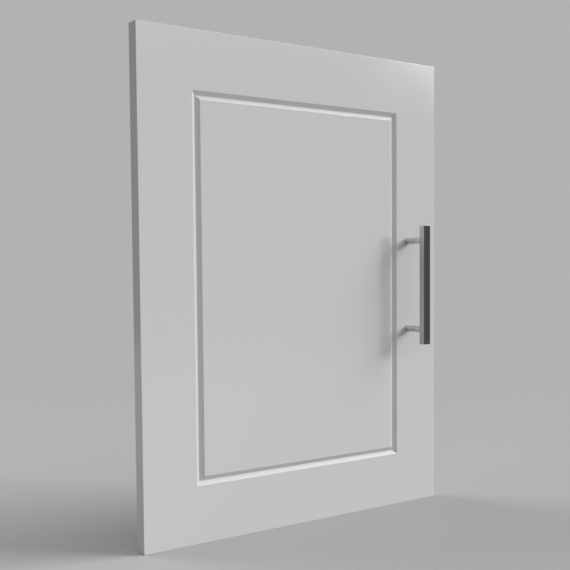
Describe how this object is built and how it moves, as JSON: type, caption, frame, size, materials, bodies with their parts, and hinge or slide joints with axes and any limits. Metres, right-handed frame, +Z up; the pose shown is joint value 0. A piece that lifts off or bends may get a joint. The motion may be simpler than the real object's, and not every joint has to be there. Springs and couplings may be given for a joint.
{
  "type": "kitchen cabinet door",
  "caption": "Slab cabinet door with a mitred V-groove frame on its face, a straight bar handle on round posts, and blind hinge bores in its back.",
  "frame": {"origin": "middle of the door's bottom edge", "axes": "+Z up the door, +Y out of its back, -Y out of its front face, +X towards the handle edge"},
  "size_m": [0.45, 0.0602, 0.6],
  "materials": {
    "painted_board": "medium-density fibreboard, sprayed with satin off-white paint",
    "handle_metal": "polished, plated steel",
    "stud_steel": "plain steel thread",
    "screw_zinc": "bright zinc plating"
  },
  "bodies": {
    "root": {"door_panel": "painted_board", "handle_bar": "handle_metal", "handle_post_upper": "handle_metal", "handle_post_lower": "handle_metal", "post_stud_upper": "stud_steel", "post_stud_lower": "stud_steel", "handle_screw_upper": "screw_zinc", "handle_screw_lower": "screw_zinc"}
  },
  "joints": []
}
